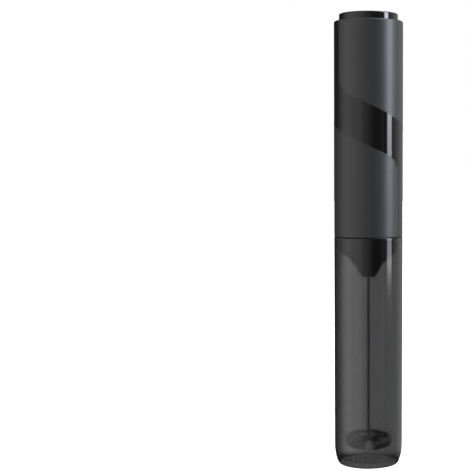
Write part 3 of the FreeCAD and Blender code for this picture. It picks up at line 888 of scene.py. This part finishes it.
class FROTHER_OT_whisk(bpy.types.Operator):
    """Hub, stem, wire ring and the coil wound round it"""
    bl_idname = "frother.whisk"
    bl_label = "Hub and whisk"

    def execute(self, context):
        size = context.scene.frother_whisk
        cone_top_z = HUB_LOW_Z + size.cone
        hub = turned_piece("whisk_hub_cone", [
            (WIRE_STEM_R + STEM_MOUTH, HUB_LOW_Z),
            (size.cone_bottom - HUB_EDGE, HUB_LOW_Z),
            (size.cone_bottom, HUB_LOW_Z + HUB_EDGE),
            (size.cone_top - HUB_EDGE * HUB_EDGE_TAPER, cone_top_z - HUB_EDGE),
            (size.cone_top - HUB_EDGE, cone_top_z),
            (size.spigot, cone_top_z),
            (size.spigot, HUB_HIGH_Z),
            (SHAFT_BORE_R, HUB_HIGH_Z),
            (SHAFT_BORE_R, HUB_LOW_Z + SHAFT_BORE_LOW),
            (WIRE_STEM_R, HUB_LOW_Z + STEM_BORE_HIGH),
        ], loop=True, around=AROUND_HUB)
        settle(hub, "whisk", "gloss_black", "whisk_hub")

        stem = turned_piece("stem_wire", [
            (WIRE_STEM_R - STEM_TIP, WIRE_STEM_LOW_Z),
            (WIRE_STEM_R, WIRE_STEM_LOW_Z + STEM_TIP),
            (WIRE_STEM_R, WIRE_STEM_HIGH_Z - STEM_TIP),
            (WIRE_STEM_R - STEM_TIP, WIRE_STEM_HIGH_Z),
        ], around=AROUND_STEM)
        settle(stem, "whisk", "steel", "whisk_stem")

        frame_wire = FRAME_HIGH_Z - FRAME_LOW_Z
        frame_z = (FRAME_HIGH_Z + FRAME_LOW_Z) / 2
        ring_r = FRAME_OUT_R - frame_wire / 2
        arm = [Vector((0, -WIRE_STEM_R * ARM_START, frame_z)), Vector((0, -ring_r + ARM_BEND, frame_z))]
        sweep = [math.radians(-90 + RING_SWEEP * step / RING_STEPS) for step in range(RING_STEPS + 1)]
        ring = [Vector((ring_r * math.cos(a), ring_r * math.sin(a), frame_z)) for a in sweep]
        frame_ring = wire_along("frame_ring", arm + ring[RING_JOIN:], frame_wire)
        settle(frame_ring, "whisk", "steel", "whisk_frame")

        radius = (size.coil_across - size.coil_wire) / 2
        middle_z = (COIL_LOW_Z + COIL_HIGH_Z) / 2
        wound = size.turns - size.gap_turns
        pitch = 360 / size.turns
        start = -90 + pitch * size.gap_turns / 2
        points = []
        for step in range(wound * COIL_STEPS + 1):
            turn = step / COIL_STEPS
            along = math.radians(start + pitch * turn)
            lean = math.radians(360 * turn)
            reach = ring_r + radius * math.cos(lean)
            height = middle_z + radius * math.sin(lean)
            points.append((reach * math.cos(along), reach * math.sin(along), height))
        coil = wire_along("whisk_coil_wire", points, size.coil_wire)
        settle(coil, "whisk", "steel", "whisk_coil")
        return {"FINISHED"}


# ---------------------------------------------------------------- inner parts

class FROTHER_OT_inner(bpy.types.Operator):
    """Finishes of the carried-over inner parts"""
    bl_idname = "frother.inner"
    bl_label = "Inner parts"

    def execute(self, context):
        slots = {part["node"]: part["material_slot"] for part in frame["record"]["subparts"]}
        for name, node in frame["nodes"].items():
            if node.hide_render:
                continue
            node.data.materials.clear()
            node.data.materials.append(FINISHES[slots[name]]())
        return {"FINISHED"}


# ---------------------------------------------------------------- stage

def soft_box(name, turn, distance, height, width, tall, power, tint="#ffffff"):
    """Rectangular lamp that faces the frother. turn is degrees from the front towards +X."""
    fresh_start()
    bpy.ops.object.light_add(type="AREA")
    lamp = bpy.context.object
    lamp.name = lamp.data.name = name
    lamp.data.shape = "RECTANGLE"
    lamp.data.size = width
    lamp.data.size_y = tall
    lamp.data.energy = power
    lamp.data.color = srgb(tint)
    around = math.radians(turn)
    lamp.location = (distance * math.sin(around), -distance * math.cos(around), height)
    aim = Vector((0, 0, height)) - lamp.location
    lamp.rotation_euler = aim.to_track_quat("-Z", "Y").to_euler()
    lamp.visible_camera = False
    return lamp


def studio_room():
    """White paper behind, walls of soft light round the frother that fade towards the ground, a tall box."""
    world = bpy.data.worlds.new("studio_room")
    world.use_nodes = True
    tree = world.node_tree
    tree.nodes.clear()
    way = add_node(tree, "ShaderNodeSeparateXYZ",
                   {0: add_node(tree, "ShaderNodeTexCoord").outputs["Generated"]}).outputs
    back = add_node(tree, "ShaderNodeMath", {0: way[1], 1: -1.0}, operation="MULTIPLY").outputs[0]
    turn = add_node(tree, "ShaderNodeMath", {0: way[0], 1: back}, operation="ARCTAN2").outputs[0]
    share = add_node(tree, "ShaderNodeMapRange", {"Value": turn, "From Min": -math.pi, "From Max": math.pi})
    walls = graded(tree, share.outputs[0], [((degrees + 180) / 360, value) for degrees, value in ROOM])
    level = add_node(tree, "ShaderNodeMapRange", {
        "Value": way[2], "From Min": ROOM_DARK_BELOW, "From Max": ROOM_FULL_ABOVE,
        "To Min": ROOM_DARK, "To Max": 1.0,
    })
    room = add_node(tree, "ShaderNodeBackground", {"Color": walls, "Strength": level.outputs[0]})
    across = graded(tree, share.outputs[0], [((degrees + 180) / 360, value) for degrees, value in BOX_TURNS])
    low, high = BOX_HEIGHTS[0][0], BOX_HEIGHTS[-1][0]
    lift = add_node(tree, "ShaderNodeMapRange", {"Value": way[2], "From Min": low, "From Max": high})
    tall = graded(tree, lift.outputs[0], [((sine - low) / (high - low), value) for sine, value in BOX_HEIGHTS])
    lit = add_node(tree, "ShaderNodeMath", {0: across, 1: tall}, operation="MULTIPLY").outputs[0]
    power = add_node(tree, "ShaderNodeMath", {0: lit, 1: BOX_BRIGHTNESS}, operation="MULTIPLY").outputs[0]
    box = add_node(tree, "ShaderNodeBackground", {"Color": rgba(srgb(BOX_TINT)), "Strength": power})
    room = add_node(tree, "ShaderNodeAddShader", {0: room.outputs[0], 1: box.outputs[0]})
    paper = add_node(tree, "ShaderNodeBackground", {"Color": rgba((1, 1, 1)), "Strength": 1.0})
    seen = add_node(tree, "ShaderNodeLightPath").outputs["Is Camera Ray"]
    sky = add_node(tree, "ShaderNodeMixShader", {0: seen, 1: room.outputs[0], 2: paper.outputs[0]})
    add_node(tree, "ShaderNodeOutputWorld", {"Surface": sky.outputs[0]})
    return world


class FROTHER_OT_stage(bpy.types.Operator):
    """Pale floor, soft lamps and the camera"""
    bl_idname = "frother.stage"
    bl_label = "Stage"

    def execute(self, context):
        scene = context.scene
        scene.view_settings.view_transform = "Standard"
        fresh_start()
        bpy.ops.mesh.primitive_plane_add(size=FLOOR_WIDTH)
        floor = context.object
        floor.name = "floor"
        material, tree, place = new_finish("white_paper_floor")
        tint, _ = mottled(tree, place, 0.4, srgb("#f6f6f6"), srgb("#fbfbfb"))
        paper = add_node(tree, "ShaderNodeBsdfPrincipled", {
            "Base Color": tint, "Roughness": 0.9,
            "Emission Color": rgba((1, 1, 1)), "Emission Strength": 1.0,
        })
        show(tree, paper.outputs[0])
        floor.data.materials.append(material)
        floor.visible_glossy = False
        floor.visible_diffuse = False
        lamp = soft_box("fill_right", 77, 1.2, 0.62, 0.30, 1.24, 2)
        lamp.visible_glossy = False
        scene.world = studio_room()

        fresh_start()
        bpy.ops.object.camera_add(location=(0, -CAMERA_DISTANCE, CAMERA_HEIGHT))
        camera = context.object
        camera.name = "camera"
        camera.data.lens = CAMERA_LENS
        camera.data.sensor_width = CAMERA_SENSOR
        camera.data.clip_end = CAMERA_REACH
        camera.data.shift_x = CAMERA_SHIFT
        camera.rotation_euler = (math.radians(90 - CAMERA_PITCH), 0, 0)
        scene.camera = camera
        return {"FINISHED"}


# ---------------------------------------------------------------- panel and registration

class FROTHER_PT_panel(bpy.types.Panel):
    """Lists the frother's pieces and sizes in the sidebar"""
    bl_idname = "FROTHER_PT_panel"
    bl_label = "Milk frother"
    bl_space_type = "VIEW_3D"
    bl_region_type = "UI"
    bl_category = "Frother"

    def draw(self, context):
        for operator in OPERATORS:
            self.layout.operator(operator.bl_idname)
        for name, group in GROUPS.items():
            column = self.layout.column()
            for size in group.__annotations__:
                column.prop(getattr(context.scene, name), size)


OPERATORS = (
    FROTHER_OT_stage,
    FROTHER_OT_cover,
    FROTHER_OT_grip,
    FROTHER_OT_body,
    FROTHER_OT_cap,
    FROTHER_OT_whisk,
    FROTHER_OT_inner,
)


def register():
    for group in GROUPS.values():
        bpy.utils.register_class(group)
    for name, group in GROUPS.items():
        setattr(bpy.types.Scene, name, bpy.props.PointerProperty(type=group))
    for operator in OPERATORS:
        bpy.utils.register_class(operator)
    bpy.utils.register_class(FROTHER_PT_panel)


def unregister():
    bpy.utils.unregister_class(FROTHER_PT_panel)
    for operator in reversed(OPERATORS):
        bpy.utils.unregister_class(operator)
    for name in GROUPS:
        delattr(bpy.types.Scene, name)
    for group in GROUPS.values():
        bpy.utils.unregister_class(group)


def main():
    register()
    bpy.ops.frother.stage()
    bpy.ops.frother.cover()
    bpy.ops.frother.grip()
    bpy.ops.frother.body()
    bpy.ops.frother.cap()
    bpy.ops.frother.whisk()
    bpy.ops.frother.inner()


if __name__ == "__main__":
    main()
